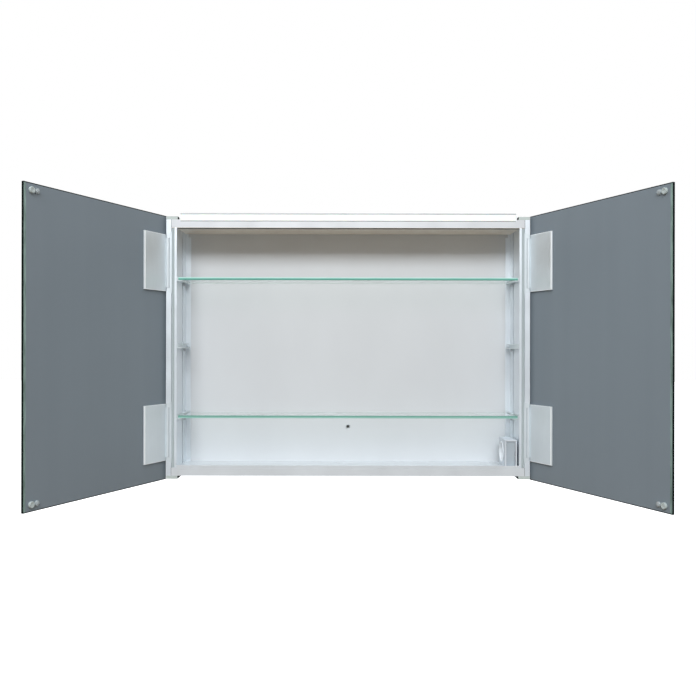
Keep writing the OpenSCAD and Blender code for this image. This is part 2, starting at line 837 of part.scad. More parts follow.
// A block in the side panel's front corner, with an ear for the pin at each end
module hinge_base(side, level) {
    outer_x = half_w - 0.4;
    ear_z = knuckle_h / 2 + 0.3;
    hung() sided(side) color("silver") translate([0, 0, level]) difference() {
        intersection() {
            translate([0, front_y + base_depth, 0])
                rotate([90, 0, 0])
                    linear_extrude(height = base_depth)
                        base_outline(slot_gap, half_w + past);
            translate([base_x, front_y, -plate_h])
                cube([outer_x - base_x, base_depth - slot_gap, 2 * plate_h]);
        }
        translate([0, 0, -ear_z]) linear_extrude(height = 2 * ear_z) {
            translate([axis_x, axis_y]) circle(r = groove_r);
            translate([axis_x - groove_r, front_y - past])
                square([groove_r + half_w, axis_y - front_y + past]);
            translate([axis_x, front_y - past])
                square([half_w, axis_y + groove_r - front_y + past]);
        }
        translate([0, 0, -plate_h]) linear_extrude(height = 2 * plate_h) difference() {
            translate([axis_x, front_y - past]) square([half_w, axis_y - front_y + past]);
            translate([axis_x, axis_y]) circle(r = ear_r);
        }
        translate([axis_x, axis_y, -pin_l / 2]) cylinder(r = pin_r, h = pin_l);
        for (z = [-base_screw_spread, base_screw_spread])
            translate([base_screw_x, axis_y + groove_r, z])
                rotate([90, 0, 0])
                    countersunk_hole(base_screw_r, base_screw_head_r, base_depth);
    }
}

// Room for a countersunk screw that points along -Z from the origin, open above
module countersunk_hole(r, head_r, depth) {
    translate([0, 0, -depth]) cylinder(r = r, h = depth);
    translate([0, 0, r - head_r]) cylinder(r1 = r, r2 = head_r, h = head_r - r);
    cylinder(r = head_r, h = past);
}

module hinge_pins() {
    for (side = [-1, 1], level = [-hinge_level, hinge_level])
        hung() sided(side) color("silver")
            translate([axis_x, axis_y, level - pin_l / 2]) cylinder(r = pin_r, h = pin_l);
}

module hinge_base_screws() {
    for (side = [-1, 1], level = [-hinge_level, hinge_level],
            z = [-base_screw_spread, base_screw_spread])
        hung() sided(side) color("silver")
            translate([base_screw_x, axis_y + groove_r, level + z])
                rotate([90, 0, 0])
                    countersunk_screw(base_screw_r, base_screw_head_r, base_screw_l);
}

// Soft discs in the free corners of a door: a milky one and a smaller clear one in each
module door_buffers(side) {
    buffer_h = door_gap - slide_gap;
    milky = [17, 6];
    clear = [30.5, 5.25];
    end_distance = 13.3;
    for (disc = [milky, clear], end = [-1, 1])
        hung() sided(side) swung() color("white")
            translate([centre_gap / 2 + disc[0], door_y, end * (door_h / 2 - end_distance)])
                rod_y(disc[1], buffer_h);
}

// ---------- assembly ----------

side_panel(-1);  // left_side_panel
side_panel(1);  // right_side_panel
top_panel();
bottom_panel();
back_panel();
end_cap(-1, 1);  // upper_left_end_cap
end_cap(1, 1);  // upper_right_end_cap
end_cap(-1, -1);  // lower_left_end_cap
end_cap(1, -1);  // lower_right_end_cap
frame_screws();
fixing_bush();
hanging_bracket(-1);  // left_hanging_bracket
hanging_bracket(1);  // right_hanging_bracket
hanging_bracket_screws();
wall_buffers();
light_bar_housing();
light_bar_cover();
light_bar_board();
light_bar_ends();
lamp_driver();
mains_terminal_box();
mains_cable_gland();
top_leads();
socket_lead();
shelf(upper_shelf_level);  // upper_shelf
shelf(-lower_shelf_drop);  // lower_shelf
carrier(-1, upper_shelf_level);  // upper_left_carrier
carrier(1, upper_shelf_level);  // upper_right_carrier
carrier(-1, -lower_shelf_drop);  // lower_left_carrier
carrier(1, -lower_shelf_drop);  // lower_right_carrier
carrier(-1, spare_level);  // spare_left_carrier
carrier(1, spare_level);  // spare_right_carrier
carrier_screws(upper_shelf_level);  // upper_carrier_screws
carrier_screws(-lower_shelf_drop);  // lower_carrier_screws
carrier_screws(spare_level);  // spare_carrier_screws
channel_nuts(upper_shelf_level);  // upper_channel_nuts
channel_nuts(-lower_shelf_drop);  // lower_channel_nuts
channel_nuts(spare_level);  // spare_channel_nuts
socket_box();
socket_insert();
socket_earth_clips();
switch_module();
switch_rocker();
door_mirror(-1);  // left_door_mirror
door_mirror(1);  // right_door_mirror
hinge_plate(-1, hinge_level);  // upper_left_hinge_plate
hinge_plate(-1, -hinge_level);  // lower_left_hinge_plate
hinge_plate(1, hinge_level);  // upper_right_hinge_plate
hinge_plate(1, -hinge_level);  // lower_right_hinge_plate
hinge_pads(-1);  // left_hinge_pads
hinge_pads(1);  // right_hinge_pads
hinge_base(-1, hinge_level);  // upper_left_hinge_base
hinge_base(-1, -hinge_level);  // lower_left_hinge_base
hinge_base(1, hinge_level);  // upper_right_hinge_base
hinge_base(1, -hinge_level);  // lower_right_hinge_base
hinge_pins();
hinge_base_screws();
door_buffers(-1);  // left_door_buffers
door_buffers(1);  // right_door_buffers
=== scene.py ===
"""Looks of the mirror cabinet around its CAD frame: finishes, glass, edges, light and camera."""
import json
import math

import bmesh
import bpy
from mathutils import Matrix, Vector


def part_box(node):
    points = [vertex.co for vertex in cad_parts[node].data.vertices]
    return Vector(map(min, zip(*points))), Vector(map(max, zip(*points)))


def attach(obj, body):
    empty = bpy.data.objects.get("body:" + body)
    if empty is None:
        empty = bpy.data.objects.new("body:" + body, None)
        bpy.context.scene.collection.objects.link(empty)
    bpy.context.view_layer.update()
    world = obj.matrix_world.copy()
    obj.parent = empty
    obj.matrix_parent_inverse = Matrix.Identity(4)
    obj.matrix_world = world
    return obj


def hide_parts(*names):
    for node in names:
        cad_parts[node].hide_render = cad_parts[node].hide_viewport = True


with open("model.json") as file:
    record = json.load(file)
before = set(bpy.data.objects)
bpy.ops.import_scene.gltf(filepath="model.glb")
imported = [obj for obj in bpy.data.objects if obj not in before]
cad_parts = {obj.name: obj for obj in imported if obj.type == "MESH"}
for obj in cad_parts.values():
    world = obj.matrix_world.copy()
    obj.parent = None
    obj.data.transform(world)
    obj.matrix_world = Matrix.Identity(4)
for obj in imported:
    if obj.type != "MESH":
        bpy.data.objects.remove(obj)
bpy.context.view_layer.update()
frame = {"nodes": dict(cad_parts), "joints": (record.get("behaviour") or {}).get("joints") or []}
NODES = frame["nodes"]
JOINTS = {j["name"]: j for j in frame["joints"]}
MM = 0.001


# ---------- camera ----------

# the front and the mid-height of the cabinet, from which camera, strips and light are placed
PANEL_LOW, PANEL_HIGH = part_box("left_side_panel")
MID_Z = (PANEL_LOW.z + PANEL_HIGH.z) / 2
FRONT_Y = PANEL_LOW.y

CAMERA_AWAY = 1.716
CAMERA_DROP = 0.0003
CAMERA_ROLL = -0.1  # degrees

camera = bpy.data.objects.new("camera", bpy.data.cameras.new("camera"))
bpy.context.scene.collection.objects.link(camera)
camera.data.lens = 40.34
camera.data.sensor_width = 36
camera.location = (0, FRONT_Y - CAMERA_AWAY, MID_Z - CAMERA_DROP)
camera.rotation_euler = (math.radians(90), math.radians(CAMERA_ROLL), 0)
bpy.context.scene.camera = camera


# ---------- materials ----------

# the usual span of a noise's values
NOISE_LOW, NOISE_HIGH = 0.3, 0.7

def rgb(r, g, b):
    """Linear colour from screen values of 0 to 255."""
    return tuple(
        v / 255 / 12.92 if v <= 10 else ((v / 255 + 0.055) / 1.055) ** 2.4 for v in (r, g, b)
    )


def shade(colour, k):
    return tuple(min(1.0, c * k) for c in colour)


class Nodes:
    """A material's node tree, with short calls for the nodes used here."""

    def __init__(self, name):
        self.material = bpy.data.materials.new(name)
        self.material.use_nodes = True
        self.tree = self.material.node_tree
        self.shader = self.tree.nodes["Principled BSDF"]
        self.out = self.tree.nodes["Material Output"]
        self.where = self.tree.nodes.new("ShaderNodeTexCoord").outputs["Object"]

    def node(self, kind, **settings):
        made = self.tree.nodes.new("ShaderNode" + kind)
        for key, value in settings.items():
            setattr(made, key, value)
        return made

    def link(self, a, b):
        self.tree.links.new(a, b)

    def texture(self, kind, size, stretch=(1, 1, 1)):
        """A texture with features about size metres wide, stretched by a factor on each axis."""
        place = self.node("Mapping")
        place.inputs["Scale"].default_value = [1 / size / s for s in stretch]
        self.link(self.where, place.inputs["Vector"])
        made = self.node(kind)
        made.inputs["Scale"].default_value = 1
        self.link(place.outputs[0], made.inputs["Vector"])
        return made

    def noise(self, size, stretch=(1, 1, 1), detail=3.0, rough=0.55):
        made = self.texture("TexNoise", size, stretch)
        made.inputs["Detail"].default_value = detail
        made.inputs["Roughness"].default_value = rough
        return made.outputs["Fac"]

    def cells(self, size):
        return self.texture("TexVoronoi", size).outputs["Distance"]

    def math(self, kind, *values):
        made = self.node("Math", operation=kind)
        for socket, value in zip(made.inputs, values):
            if isinstance(value, (int, float)):
                socket.default_value = value
            else:
                self.link(value, socket)
        return made.outputs[0]

    def weighted(self, *parts):
        """Sum of values, each given with its weight."""
        total = None
        for value, weight in parts:
            part = self.math("MULTIPLY", value, weight)
            total = part if total is None else self.math("ADD", total, part)
        return total

    def between(self, value, low, high, out_low=0.0, out_high=1.0):
        """A smooth step from one span of values to another."""
        made = self.node("MapRange", interpolation_type="SMOOTHSTEP")
        spans = {"From Min": low, "From Max": high, "To Min": out_low, "To Max": out_high}
        for key, v in spans.items():
            made.inputs[key].default_value = v
        self.link(value, made.inputs["Value"])
        return made.outputs[0]

    def vary(self, noise, low, high):
        """A noise's usual span as values from low to high."""
        return self.between(noise, NOISE_LOW, NOISE_HIGH, low, high)

    def tones(self, noise, dark, light):
        """A noise's usual span as colours from dark to light."""
        return self.ramp(noise, (NOISE_LOW, dark), (NOISE_HIGH, light))

    def ramp(self, value, *stops):
        """Colour ramp. Each stop is (position, colour)."""
        made = self.node("ValToRGB")
        parts = made.color_ramp.elements
        while len(parts) < len(stops):
            parts.new(0.5)
        for part, (at, colour) in zip(parts, stops):
            part.position = at
            part.color = (*colour, 1)
        self.link(value, made.inputs["Fac"])
        return made.outputs["Color"]

    def mix(self, factor, a, b):
        made = self.node("Mix", data_type="RGBA")
        for socket, value in zip((made.inputs[0], made.inputs[6], made.inputs[7]), (factor, a, b)):
            if isinstance(value, (int, float)):
                socket.default_value = value
            elif isinstance(value, tuple):
                socket.default_value = (*value, 1)
            else:
                self.link(value, socket)
        return made.outputs[2]

    def axis(self, name):
        made = self.node("SeparateXYZ")
        self.link(self.where, made.inputs[0])
        return made.outputs[name]

    def bump(self, height, depth, strength):
        made = self.node("Bump")
        made.inputs["Distance"].default_value = depth
        made.inputs["Strength"].default_value = strength
        self.link(height, made.inputs["Height"])
        self.link(made.outputs[0], self.shader.inputs["Normal"])

    def let_light_through(self, colour):
        """Lamps and diffuse light pass through this surface, tinted by a colour."""
        path = self.node("LightPath")
        through = self.node("BsdfTransparent")
        through.inputs["Color"].default_value = (*colour, 1)
        either = self.math("MAXIMUM", path.outputs["Is Shadow Ray"], path.outputs["Is Diffuse Ray"])
        both = self.node("MixShader")
        self.link(either, both.inputs[0])
        self.link(self.shader.outputs[0], both.inputs[1])
        self.link(through.outputs[0], both.inputs[2])
        self.link(both.outputs[0], self.out.inputs["Surface"])

    def set(self, **values):
        for key, value in values.items():
            socket = self.shader.inputs[key.replace("_", " ")]
            if isinstance(value, bpy.types.NodeSocket):
                self.link(value, socket)
            elif isinstance(value, tuple):
                socket.default_value = (*value, 1) if len(value) == 3 else value
            else:
                socket.default_value = value


def satin_metal(name, colour, along, metallic, rough, tint=0.05, under=None):
    """Anodised or plated metal with fine draw lines along one axis (0, 1 or 2).

    The last argument gives the (colour, z) of painted light: a lighter colour on the faces at
    height z, standing in for the light that reaches them.
    """
    n = Nodes(name)
    stretch = [1, 1, 1]
    stretch[along] = 90
    lines = n.noise(0.0007, stretch, 4, 0.7)
    cloud = n.noise(0.045, detail=2)
    both = n.weighted((lines, 0.6), (cloud, 0.4))
    base = n.tones(both, shade(colour, 1 - tint), shade(colour, 1 + tint))
    # painted light: the faces at height z get a lighter colour
    if under:
        paler, z = under
        base = n.mix(n.between(n.axis("Z"), z + 0.0002, z + 0.0008), paler, base)
    n.set(
        Base_Color=base,
        Metallic=metallic,
        Roughness=n.vary(both, rough - 0.07, rough + 0.07),
    )
    n.bump(lines, 0.00002, 0.5)
    return n.material


def coated_sheet(name, colour):
    """Powder coating: a faint orange peel and slightly uneven tone."""
    n = Nodes(name)
    peel = n.noise(0.0016, detail=2, rough=0.5)
    cloud = n.noise(0.16, (1, 1, 1.6))
    speck = n.noise(0.0005, detail=1)
    tone = n.weighted((cloud, 0.75), (speck, 0.25))
    n.set(
        Base_Color=n.tones(tone, shade(colour, 0.965), shade(colour, 1.02)),
        Roughness=n.vary(peel, 0.37, 0.48),
    )
    n.bump(peel, 0.00005, 0.35)
    return n.material


def plastic(name, colour, rough, grain=0.0006, depth=0.00003):
    """Moulded plastic with a fine eroded grain."""
    n = Nodes(name)
    fine = n.noise(grain, rough=0.6)
    cloud = n.noise(0.03, detail=2)
    tone = n.weighted((cloud, 0.6), (fine, 0.4))
    n.set(
        Base_Color=n.tones(tone, shade(colour, 0.965), shade(colour, 1.035)),
        Roughness=n.vary(fine, rough - 0.06, rough + 0.08),
    )
    n.bump(fine, depth, 0.5)
    return n.material


def zinc(name, colour):
    """Bright zinc plating with a faint spangle and small tarnish spots."""
    n = Nodes(name)
    spangle = n.cells(0.0045)
    fine = n.noise(0.0006)
    spot = n.between(n.noise(0.004, detail=4), 0.58, 0.7)
    base = n.ramp(spangle, (0.0, shade(colour, 1.08)), (0.9, shade(colour, 0.86)))
    n.set(
        Base_Color=n.mix(spot, base, shade(colour, 0.72)),
        Metallic=1.0,
        Roughness=n.vary(fine, 0.26, 0.42),
    )
    n.bump(fine, 0.00002, 0.5)
    return n.material


def foam(name, colour):
    """Cut foam tape with open cells."""
    n = Nodes(name)
    cell = n.cells(0.0011)
    n.set(
        Base_Color=n.ramp(cell, (0.1, shade(colour, 0.7)), (0.8, shade(colour, 1.15))),
        Roughness=0.9,
    )
    n.bump(cell, 0.0002, 0.8)
    return n.material


def clear_glass(name):
    """Float glass that lets lamps through, so that what is behind it stays lit."""
    n = Nodes(name)
    wave = n.noise(0.12, detail=1)
    smear = n.noise(0.035, (3, 1, 1))
    n.set(
        Base_Color=n.tones(wave, (0.93, 0.99, 0.972), (0.94, 0.994, 0.976)),
        Transmission_Weight=1.0,
        IOR=1.5,
        Roughness=n.between(smear, 0.45, 0.75, 0.0, 0.03),
    )
    n.let_light_through((0.985, 0.995, 0.99))
    return n.material


def glass_edge_painted_light(name, low, middle, high, centre, half):
    """Polished edge of a pane, with a colour each for its lower, middle and upper part: the green
    is the glass's own, the bright and dark bands over its height are painted light.
    """
    n = Nodes(name)
    up = n.math("DIVIDE", n.math("SUBTRACT", n.axis("Z"), centre), half)
    streak = n.math("SUBTRACT", n.noise(0.004, (14, 14, 1)), 0.5)
    shifted = n.math("ADD", n.math("MULTIPLY", streak, 0.25), 0.5)
    level = n.math("ADD", n.math("MULTIPLY", up, 0.5), shifted)
    n.set(
        Base_Color=n.ramp(level, (0.12, low), (0.5, middle), (0.88, high)),
        Roughness=n.between(streak, -0.2, 0.2, 0.06, 0.2),
        Coat_Weight=0.6,
        Coat_Roughness=0.05,
        IOR=1.5,
    )
    n.bump(streak, 0.00003, 0.4)
    n.let_light_through((0.93, 0.97, 0.95))
    return n.material


def dark_edge(name, colour):
    """Edge of the mirror pane, where the light is lost in the glass."""
    n = Nodes(name)
    streak = n.noise(0.003, (1, 1, 10))
    n.set(
        Base_Color=n.tones(streak, shade(colour, 0.6), shade(colour, 1.5)),
        Roughness=n.vary(streak, 0.2, 0.35),
        IOR=1.2,
    )
    n.bump(streak, 0.00002, 0.3)
    return n.material


def silver(name):
    """Silvered glass, a little dusty."""
    n = Nodes(name)
    cloud = n.noise(0.2)
    dust = n.noise(0.0012, detail=2)
    n.set(
        Base_Color=n.tones(cloud, (0.86, 0.90, 0.895), (0.88, 0.915, 0.91)),
        Metallic=1.0,
        Roughness=n.between(dust, 0.6, 0.8, 0.012, 0.045),
    )
    return n.material


def backing_paint(name, colour):
    """Mirror backing paint: rolled on, so faint bands run up it, with a fine peel."""
    n = Nodes(name)
    band = n.noise(0.05, (1, 1, 40), 2)
    peel = n.noise(0.0014, (1, 1, 1.5), 2)
    cloud = n.noise(0.3, detail=2)
    tone = n.weighted((band, 0.45), (cloud, 0.4), (peel, 0.15))
    n.set(
        Base_Color=n.tones(tone, shade(colour, 0.96), shade(colour, 1.045)),
        Roughness=n.vary(peel, 0.42, 0.54),
    )
    n.bump(peel, 0.00004, 0.35)
    return n.material


def opal(name, glow):
    """Milky light cover with a low glow."""
    n = Nodes(name)
    haze = n.noise(0.02, (6, 1, 1))
    fine = n.noise(0.0006, detail=2)
    n.set(
        Base_Color=n.tones(haze, (0.90, 0.915, 0.90), (0.94, 0.95, 0.935)),
        Roughness=n.vary(fine, 0.28, 0.38),
        Subsurface_Weight=0.25,
        Subsurface_Scale=0.003,
        Emission_Color=n.ramp(haze, (0.2, (0.95, 1.0, 0.97)), (0.8, (1.0, 1.0, 0.98))),
        Emission_Strength=glow,
    )
    n.bump(fine, 0.00002, 0.3)
    return n.material


def lamp_board(name, pitch, half, centre_z):
    """White solder mask, with a square yellow phosphor field on each lamp."""
    n = Nodes(name)
    fine = n.noise(0.0008, detail=2)
    base = n.tones(fine, (0.80, 0.80, 0.77), (0.88, 0.88, 0.85))
    x = n.math("PINGPONG", n.axis("X"), pitch / 2)
    z = n.math("ABSOLUTE", n.math("SUBTRACT", n.axis("Z"), centre_z))
    on_x = n.math("LESS_THAN", x, half)
    on_z = n.math("LESS_THAN", z, half)
    n.set(
        Base_Color=n.mix(n.math("MULTIPLY", on_x, on_z), base, (0.85, 0.68, 0.16)),
        Roughness=n.vary(fine, 0.35, 0.5),
    )
    n.bump(fine, 0.00002, 0.4)
    return n.material


def soft_clear(name, colour, transmission, rough):
    """Clear or milky soft plastic."""
    n = Nodes(name)
    fine = n.noise(0.0012)
    n.set(
        Base_Color=n.tones(fine, shade(colour, 0.95), shade(colour, 1.04)),
        Roughness=n.vary(fine, rough - 0.06, rough + 0.06),
        Transmission_Weight=transmission,
        IOR=1.45,
    )
    n.bump(fine, 0.00003, 0.3)
    return n.material


M = {
    "profile": satin_metal("profile_upright", rgb(228, 234, 239), 2, 0.55, 0.38),
    "rail": satin_metal("profile_rail", rgb(225, 229, 232), 0, 0.45, 0.34),
    # painted light and shade on the top rail: its colour is a darker copy of the rail's, toning
    # down the light from above, and its underside gets a lighter, warm painted light
    "top_rail": satin_metal("profile_top_rail_painted_light", rgb(206, 208, 211), 0, 0.3, 0.36,
                            under=(rgb(250, 241, 228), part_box("top_panel")[0].z)),
    "sheet": coated_sheet("back_sheet", rgb(207, 211, 215)),
    "cap": plastic("cap_plastic", rgb(186, 196, 194), 0.5),
    # painted shade: near-black for the faces inside the end caps' hollow
    "cap_painted_shade": plastic("cap_hollow_painted_shade", rgb(14, 15, 15), 0.7),
    "zinc": zinc("zinc_plate", rgb(205, 207, 210)),
    "bush": satin_metal("bush_metal", rgb(214, 218, 218), 1, 1.0, 0.3),
    "rubber": plastic("black_rubber", rgb(38, 38, 39), 0.75, 0.0009, 0.00006),
    "opal": opal("opal_cover", 0.03),
    "white": plastic("white_plastic", rgb(236, 236, 234), 0.42),
    "black": plastic("black_plastic", rgb(42, 43, 46), 0.45),
    "lead": plastic("lead_jacket", rgb(92, 94, 98), 0.5, 0.0012),
    "glass": clear_glass("shelf_glass"),
    "carrier": satin_metal("carrier_metal", rgb(214, 222, 224), 1, 0.6, 0.34),
    "box": plastic("box_plastic", rgb(206, 213, 221), 0.42),
    "insert": plastic("insert_plastic", rgb(243, 247, 251), 0.42),
    "rocker": plastic("rocker_plastic", rgb(172, 183, 192), 0.38),
    "hinge": satin_metal("hinge_metal", rgb(222, 229, 233), 2, 0.5, 0.36),
    "foam": foam("foam_tape", rgb(140, 144, 148)),
    "silver": silver("mirror_silver"),
    "paint": backing_paint("backing_paint", rgb(121, 132, 141)),
    "pane_edge": dark_edge("pane_edge", rgb(2, 15, 13)),
    "pane_border": dark_edge("pane_border", rgb(124, 146, 141)),
    # dark rubber for the fixing hole's membrane; on the door seal its darkness is partly painted
    # shade
    "seal": plastic("dark_seal_and_painted_shade", rgb(62, 62, 58), 0.7, 0.0009),
    "joint": plastic("joint_shadow", rgb(72, 74, 78), 0.7, 0.0009),
    # grey seal in the side panels' grooves, darker than the profile: partly painted shade for the
    # groove
    "dust_seal_and_painted_shade": plastic("dust_seal_and_painted_shade", rgb(176, 186, 189), 0.6, 0.0009),
    "bar_end": satin_metal("bar_end_metal", rgb(236, 237, 238), 0, 0.3, 0.4),
    "housing": satin_metal("bar_metal", rgb(170, 172, 174), 0, 0.5, 0.38),
    "milky_disc": soft_clear("milky_disc", rgb(204, 215, 215), 0.3, 0.3),
    "clear_disc": soft_clear("clear_disc", rgb(206, 214, 216), 0.55, 0.12),
    # painted highlight: a near-white, unmetallic finish for the light caught by the cover plates'
    # cut edges
    "cut": satin_metal("painted_highlight_cut", rgb(246, 251, 255), 2, 0.0, 0.3, 0.01),
}


# ---------- CAD nodes that stay ----------

# edges that turn by more than this are sharp
SHARP = math.radians(35)


def soften(ob, edge, segments):
    """Rounds the sharp edges of an object, edge in mm."""
    soft = ob.modifiers.new("soft", "BEVEL")
    soft.width = edge * MM
    soft.segments = segments
    soft.limit_method = "ANGLE"
    soft.angle_limit = SHARP
    soft.harden_normals = True


def wear(nodes, material, edge, segments=2):
    """Gives CAD nodes a finish and soft edges, edge in mm."""
    for name in nodes.split():
        ob = NODES[name]
        mesh = ob.data
        mesh.materials.clear()
        mesh.materials.append(M[material])
        if "custom_normal" in mesh.attributes:
            mesh.attributes.remove(mesh.attributes["custom_normal"])
        mesh.shade_smooth()
        weld = ob.modifiers.new("weld", "WELD")
        weld.merge_threshold = 0.00002
        flat = ob.modifiers.new("flat", "DECIMATE")
        flat.decimate_type = "DISSOLVE"
        flat.angle_limit = math.radians(1)
        soften(ob, edge, segments)


LAMP_PITCH = 0.024
LAMP_HALF = 0.0011
LAMP_ROW = 0.0035  # above the lower edge of the board
M["board"] = lamp_board(
    "lamp_board", LAMP_PITCH, LAMP_HALF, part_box("light_bar_board")[0].z + LAMP_ROW
)

wear("left_side_panel right_side_panel", "profile", 0.35)
wear("top_panel", "top_rail", 0.3)
wear("bottom_panel", "rail", 0.3)
wear("light_bar_housing", "housing", 0.4)
wear("light_bar_ends", "bar_end", 0.4)
wear("back_panel", "sheet", 0.3)
wear("frame_screws hanging_bracket_screws hinge_base_screws", "zinc", 0.12)
wear("left_hanging_bracket right_hanging_bracket", "zinc", 0.5)
wear("upper_channel_nuts lower_channel_nuts spare_channel_nuts socket_earth_clips", "zinc", 0.2)
wear("hinge_pins", "zinc", 0.3)
wear("fixing_bush", "bush", 0.3)
wear("wall_buffers", "rubber", 0.8, 3)
wear("light_bar_cover", "opal", 0.8, 3)
wear("light_bar_board", "board", 0.15)
wear("lamp_driver mains_terminal_box", "white", 1.0, 3)
wear("mains_cable_gland", "black", 0.4)
wear("switch_module", "black", 0.4)
wear("top_leads socket_lead", "lead", 0.3)
wear("upper_left_carrier upper_right_carrier", "carrier", 0.5)
wear("lower_left_carrier lower_right_carrier", "carrier", 0.5)
wear("spare_left_carrier spare_right_carrier", "carrier", 0.5)
wear("socket_box", "box", 0.7, 3)
wear("socket_insert", "insert", 0.35)
wear("upper_left_hinge_plate lower_left_hinge_plate", "hinge", 0.7, 3)
wear("upper_right_hinge_plate lower_right_hinge_plate", "hinge", 0.7, 3)
wear("upper_left_hinge_base lower_left_hinge_base", "hinge", 0.35)
wear("upper_right_hinge_base lower_right_hinge_base", "hinge", 0.35)
wear("left_hinge_pads right_hinge_pads", "foam", 0.25)


# ---------- pieces that replace CAD nodes ----------


def make(name, bm, materials, body, replaces, soft=None):
    """Turns a bmesh into a shown piece on a body. soft rounds its sharp edges, in mm."""
    bmesh.ops.recalc_face_normals(bm, faces=bm.faces)
    mesh = bpy.data.meshes.new(name)
    bm.to_mesh(mesh)
    bm.free()
    for key in materials:
        mesh.materials.append(M[key])
    mesh.shade_smooth()
    ob = bpy.data.objects.new(name, mesh)
    bpy.context.scene.collection.objects.link(ob)
    if soft:
        soften(ob, soft, 3)
    else:
        mesh.set_sharp_from_angle(angle=SHARP)
    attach(ob, body)
    if replaces:
        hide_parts(*replaces)


def block(bm, low, high, pick=None):
    """A box in a bmesh. pick gives each face's material number from its normal."""
    made = bmesh.ops.create_cube(bm, size=1)["verts"]
    for v in made:
        v.co = Vector(low[i] + (v.co[i] + 0.5) * (high[i] - low[i]) for i in range(3))
    for f in {f for v in made for f in v.link_faces}:
        f.normal_update()
        if pick:
            f.material_index = pick(f.normal)


def arris(bm, width, material):
    """Grinds every sharp edge of a block to a narrow flat, width in mm."""
    edges = [e for e in bm.edges if e.is_manifold and e.calc_face_angle() > SHARP]
    bmesh.ops.bevel(
        bm, geom=edges, offset=width * MM, segments=1, affect="EDGES", material=material
    )


def skin(bm, rings):
    """Faces between one ring of vertices and the next, and over both ends."""
    for a, b in zip(rings, rings[1:]):
        for i in range(len(a)):
            k = (i + 1) % len(a)
            bm.faces.new((a[i], a[k], b[k], b[i]))
    for ring in (rings[0], rings[-1]):
        bm.faces.new(ring)


def ring_at(bm, centre, axis, across, turns, height, radius):
    """A ring of vertices about an axis. radius gives the mm from it at an angle."""
    up, side = Vector(axis), Vector(across)
    third = up.cross(side)
    made = []
    for i in range(turns):
        a = 2 * math.pi * i / turns
        away = side * math.cos(a) + third * math.sin(a)
        made.append(bm.verts.new(centre + up * (height * MM) + away * (radius(a) * MM)))
    return made


def lathe(bm, profile, centre, axis, across, turns):
    """A turned form from (radius, height) in mm, closed at both ends of the profile."""
    skin(bm, [ring_at(bm, centre, axis, across, turns, h, lambda a: r) for r, h in profile])


def door(side):
    """The opening turn of a door, its outward X sign and the closed box of one of its nodes."""
    j = JOINTS[f"{side}_door_hinge"]
    at = Matrix.Translation(Vector(j["pos_m"]))
    angle = math.radians(j["range_deg"][1])
    turn = at @ Matrix.Rotation(angle, 4, Vector(j["axis"])) @ at.inverted()

    def closed(node):
        points = [turn @ v.co for v in NODES[node].data.vertices]
        return (
            Vector(min(p[i] for p in points) for i in range(3)),
            Vector(max(p[i] for p in points) for i in range(3)),
        )

    return turn.inverted(), (1 if side == "right" else -1), closed


# the rounding of thin lines, in mm
FINE = 0.05

# marks on the back of a closed pane, in mm from its edges and its back
PANE_ARRIS, SUNK = 0.7, 0.2
LINE_IN, LINE_H, LINE_PROUD = 0.6, 1.4, 0.13
PAINT_FREE, PAINT_HINGE, PAINT_ENDS, PAINT_PROUD = 5.4, 0.9, 1.1, 0.1

# buffers, in mm from the ends and the free edge of the pane
BUFFER_END, MILKY_IN, CLEAR_IN = 13.3, 17, 30.5
MILKY_R, CLEAR_R = 6.0, 5.25
DOME_FOOT = 1.2

# cover plates: the height of the shown face, and the lines on it from its free and cut edges
PLATE_FACE = 3.2
RIM_W, CUT_REACH = 3.4, 73
CUT_IN, CUT_H = 0.4, 0.9


